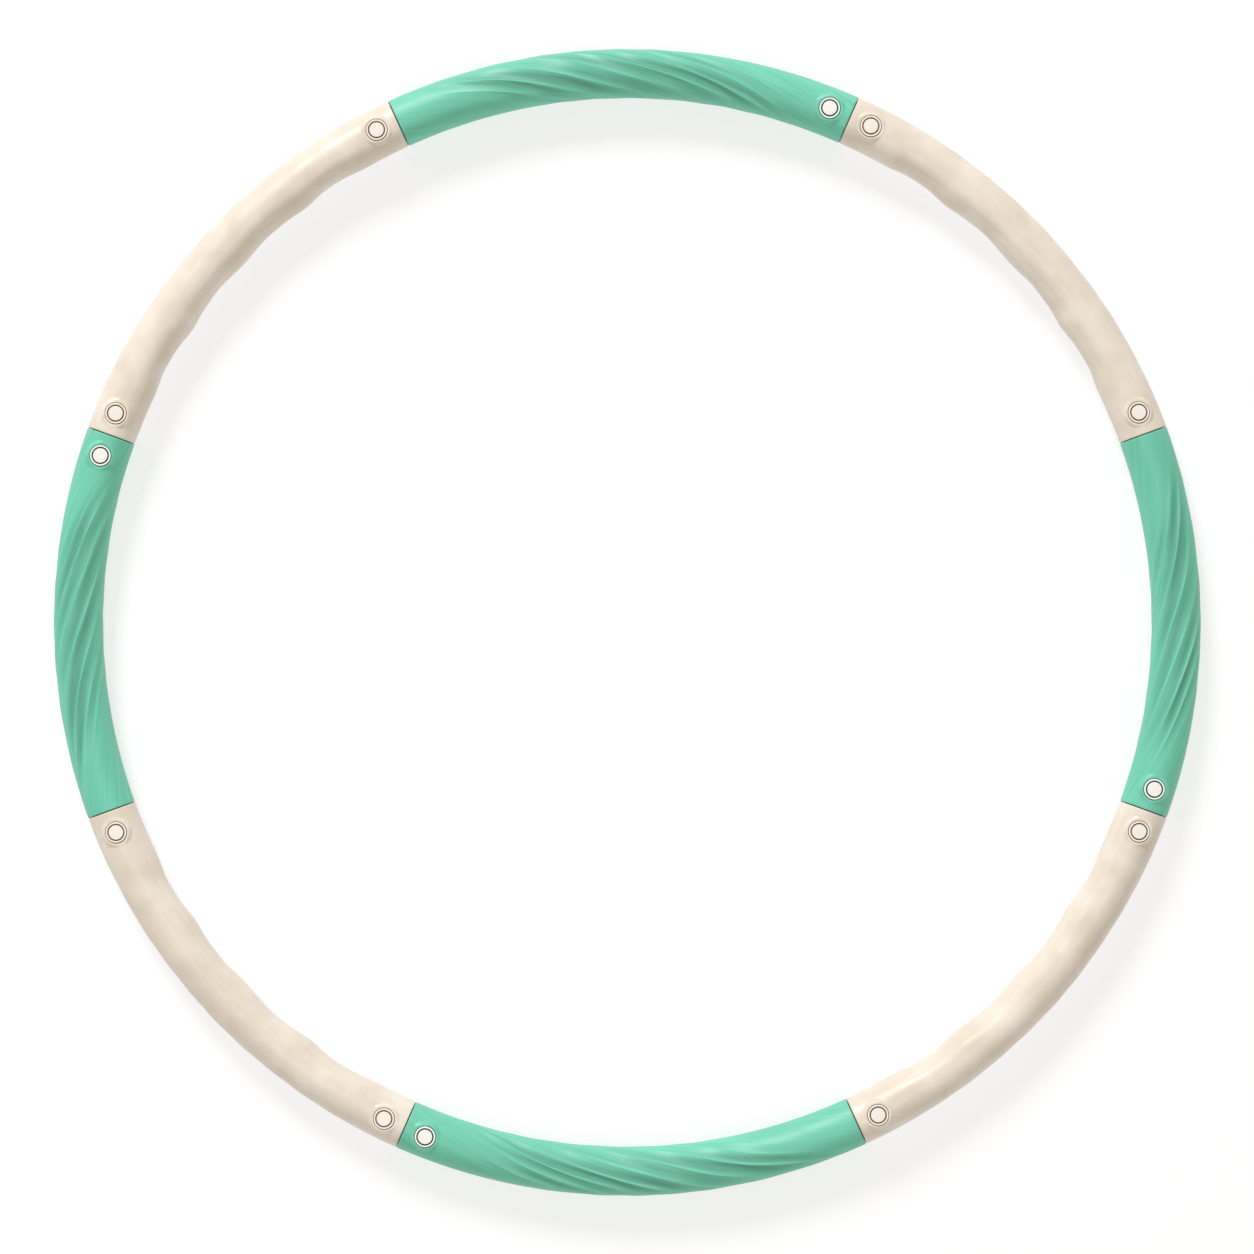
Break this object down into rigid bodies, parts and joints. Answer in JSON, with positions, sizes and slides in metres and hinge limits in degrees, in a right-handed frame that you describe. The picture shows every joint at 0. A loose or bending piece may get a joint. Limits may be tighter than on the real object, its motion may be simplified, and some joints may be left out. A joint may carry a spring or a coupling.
{
  "type": "sectional rhythmic hoop",
  "caption": "Round exercise hoop of detachable hollow plastic tube sections, alternately twist-ridged and softly waved, joined by couplers that spring pins and push buttons lock.",
  "frame": {"origin": "the hoop's centre, on the surface that it rests on", "axes": "+Z along the hoop's axis, on the side that the push buttons face; +Y towards green section 1"},
  "size_m": [0.9498, 0.9498, 0.0419],
  "materials": {
    "mint_plastic": "satin",
    "cream_plastic": "satin",
    "coupler_plastic": "matt",
    "button_white": "satin",
    "bezel_white": "satin",
    "bezel_ivory": "satin",
    "clip_steel": "brushed"
  },
  "bodies": {
    "green_1": {"green_section_1": "mint_plastic", "fixed_spigot_1": "coupler_plastic", "button_bezel_green_1": "bezel_white", "spring_clip_cream_4b": "clip_steel"},
    "coupler_1": {"double_coupler_1": "coupler_plastic", "spring_clip_green_1": "clip_steel", "spring_clip_cream_1a": "clip_steel"},
    "cream_1": {"cream_section_1": "cream_plastic", "button_bezel_cream_1a": "bezel_ivory", "button_bezel_cream_1b": "bezel_ivory"},
    "green_2": {"green_section_2": "mint_plastic", "fixed_spigot_2": "coupler_plastic", "button_bezel_green_2": "bezel_white", "spring_clip_cream_1b": "clip_steel"},
    "coupler_2": {"double_coupler_2": "coupler_plastic", "spring_clip_green_2": "clip_steel", "spring_clip_cream_2a": "clip_steel"},
    "cream_2": {"cream_section_2": "cream_plastic", "button_bezel_cream_2a": "bezel_ivory", "button_bezel_cream_2b": "bezel_ivory"},
    "green_3": {"green_section_3": "mint_plastic", "fixed_spigot_3": "coupler_plastic", "button_bezel_green_3": "bezel_white", "spring_clip_cream_2b": "clip_steel"},
    "coupler_3": {"double_coupler_3": "coupler_plastic", "spring_clip_green_3": "clip_steel", "spring_clip_cream_3a": "clip_steel"},
    "cream_3": {"cream_section_3": "cream_plastic", "button_bezel_cream_3a": "bezel_ivory", "button_bezel_cream_3b": "bezel_ivory"},
    "green_4": {"green_section_4": "mint_plastic", "fixed_spigot_4": "coupler_plastic", "button_bezel_green_4": "bezel_white", "spring_clip_cream_3b": "clip_steel"},
    "coupler_4": {"double_coupler_4": "coupler_plastic", "spring_clip_green_4": "clip_steel", "spring_clip_cream_4a": "clip_steel"},
    "cream_4": {"cream_section_4": "cream_plastic", "button_bezel_cream_4a": "bezel_ivory", "button_bezel_cream_4b": "bezel_ivory"},
    "button_green_1": {"button_cap_green_1": "button_white"},
    "button_cream_1a": {"button_cap_cream_1a": "button_white"},
    "button_cream_1b": {"button_cap_cream_1b": "button_white"},
    "button_green_2": {"button_cap_green_2": "button_white"},
    "button_cream_2a": {"button_cap_cream_2a": "button_white"},
    "button_cream_2b": {"button_cap_cream_2b": "button_white"},
    "button_green_3": {"button_cap_green_3": "button_white"},
    "button_cream_3a": {"button_cap_cream_3a": "button_white"},
    "button_cream_3b": {"button_cap_cream_3b": "button_white"},
    "button_green_4": {"button_cap_green_4": "button_white"},
    "button_cream_4a": {"button_cap_cream_4a": "button_white"},
    "button_cream_4b": {"button_cap_cream_4b": "button_white"}
  },
  "joints": [
    {"name": "coupler_1_pull", "type": "slide", "parent": "green_1", "child": "coupler_1", "axis": [0.915, -0.4035, 0], "range_m": [0, 0.038]},
    {"name": "cream_1_pull", "type": "slide", "parent": "coupler_1", "child": "cream_1", "axis": [0.915, -0.4035, 0], "range_m": [0, 0.038]},
    {"name": "green_2_pull", "type": "slide", "parent": "cream_1", "child": "green_2", "axis": [0.342, -0.9397, 0], "range_m": [0, 0.038]},
    {"name": "coupler_2_pull", "type": "slide", "parent": "green_2", "child": "coupler_2", "axis": [-0.3404, -0.9403, 0], "range_m": [0, 0.038]},
    {"name": "cream_2_pull", "type": "slide", "parent": "coupler_2", "child": "cream_2", "axis": [-0.3404, -0.9403, 0], "range_m": [0, 0.038]},
    {"name": "green_3_pull", "type": "slide", "parent": "cream_2", "child": "green_3", "axis": [-0.9089, -0.4171, 0], "range_m": [0, 0.038]},
    {"name": "coupler_3_pull", "type": "slide", "parent": "green_3", "child": "coupler_3", "axis": [-0.915, 0.4035, 0], "range_m": [0, 0.038]},
    {"name": "cream_3_pull", "type": "slide", "parent": "coupler_3", "child": "cream_3", "axis": [-0.915, 0.4035, 0], "range_m": [0, 0.038]},
    {"name": "green_4_pull", "type": "slide", "parent": "cream_3", "child": "green_4", "axis": [-0.342, 0.9397, 0], "range_m": [0, 0.038]},
    {"name": "coupler_4_pull", "type": "slide", "parent": "green_4", "child": "coupler_4", "axis": [0.3404, 0.9403, 0], "range_m": [0, 0.038]},
    {"name": "cream_4_pull", "type": "slide", "parent": "coupler_4", "child": "cream_4", "axis": [0.3404, 0.9403, 0], "range_m": [0, 0.038]},
    {"name": "button_green_1_press", "type": "slide", "parent": "green_1", "child": "button_green_1", "axis": [0, 0, -1], "range_m": [0, 0.0016], "stiffness_N_per_m": 2000, "springref_m": -0.002, "deforming": ["spring_clip_green_1"]},
    {"name": "button_cream_1a_press", "type": "slide", "parent": "cream_1", "child": "button_cream_1a", "axis": [0, 0, -1], "range_m": [0, 0.0016], "stiffness_N_per_m": 2000, "springref_m": -0.002, "deforming": ["spring_clip_cream_1a"]},
    {"name": "button_cream_1b_press", "type": "slide", "parent": "cream_1", "child": "button_cream_1b", "axis": [0, 0, -1], "range_m": [0, 0.0016], "stiffness_N_per_m": 2000, "springref_m": -0.002, "deforming": ["spring_clip_cream_1b"]},
    {"name": "button_green_2_press", "type": "slide", "parent": "green_2", "child": "button_green_2", "axis": [0, 0, -1], "range_m": [0, 0.0016], "stiffness_N_per_m": 2000, "springref_m": -0.002, "deforming": ["spring_clip_green_2"]},
    {"name": "button_cream_2a_press", "type": "slide", "parent": "cream_2", "child": "button_cream_2a", "axis": [0, 0, -1], "range_m": [0, 0.0016], "stiffness_N_per_m": 2000, "springref_m": -0.002, "deforming": ["spring_clip_cream_2a"]},
    {"name": "button_cream_2b_press", "type": "slide", "parent": "cream_2", "child": "button_cream_2b", "axis": [0, 0, -1], "range_m": [0, 0.0016], "stiffness_N_per_m": 2000, "springref_m": -0.002, "deforming": ["spring_clip_cream_2b"]},
    {"name": "button_green_3_press", "type": "slide", "parent": "green_3", "child": "button_green_3", "axis": [0, 0, -1], "range_m": [0, 0.0016], "stiffness_N_per_m": 2000, "springref_m": -0.002, "deforming": ["spring_clip_green_3"]},
    {"name": "button_cream_3a_press", "type": "slide", "parent": "cream_3", "child": "button_cream_3a", "axis": [0, 0, -1], "range_m": [0, 0.0016], "stiffness_N_per_m": 2000, "springref_m": -0.002, "deforming": ["spring_clip_cream_3a"]},
    {"name": "button_cream_3b_press", "type": "slide", "parent": "cream_3", "child": "button_cream_3b", "axis": [0, 0, -1], "range_m": [0, 0.0016], "stiffness_N_per_m": 2000, "springref_m": -0.002, "deforming": ["spring_clip_cream_3b"]},
    {"name": "button_green_4_press", "type": "slide", "parent": "green_4", "child": "button_green_4", "axis": [0, 0, -1], "range_m": [0, 0.0016], "stiffness_N_per_m": 2000, "springref_m": -0.002, "deforming": ["spring_clip_green_4"]},
    {"name": "button_cream_4a_press", "type": "slide", "parent": "cream_4", "child": "button_cream_4a", "axis": [0, 0, -1], "range_m": [0, 0.0016], "stiffness_N_per_m": 2000, "springref_m": -0.002, "deforming": ["spring_clip_cream_4a"]},
    {"name": "button_cream_4b_press", "type": "slide", "parent": "cream_4", "child": "button_cream_4b", "axis": [0, 0, -1], "range_m": [0, 0.0016], "stiffness_N_per_m": 2000, "springref_m": -0.002, "deforming": ["spring_clip_cream_4b"]}
  ],
  "couplings": [
    {"joint": "coupler_3_pull", "follows": "coupler_1_pull", "ratio": 1},
    {"joint": "cream_3_pull", "follows": "cream_1_pull", "ratio": 1},
    {"joint": "green_4_pull", "follows": "green_2_pull", "ratio": 1},
    {"joint": "coupler_4_pull", "follows": "coupler_2_pull", "ratio": 1},
    {"joint": "cream_4_pull", "follows": "cream_2_pull", "ratio": 1}
  ]
}
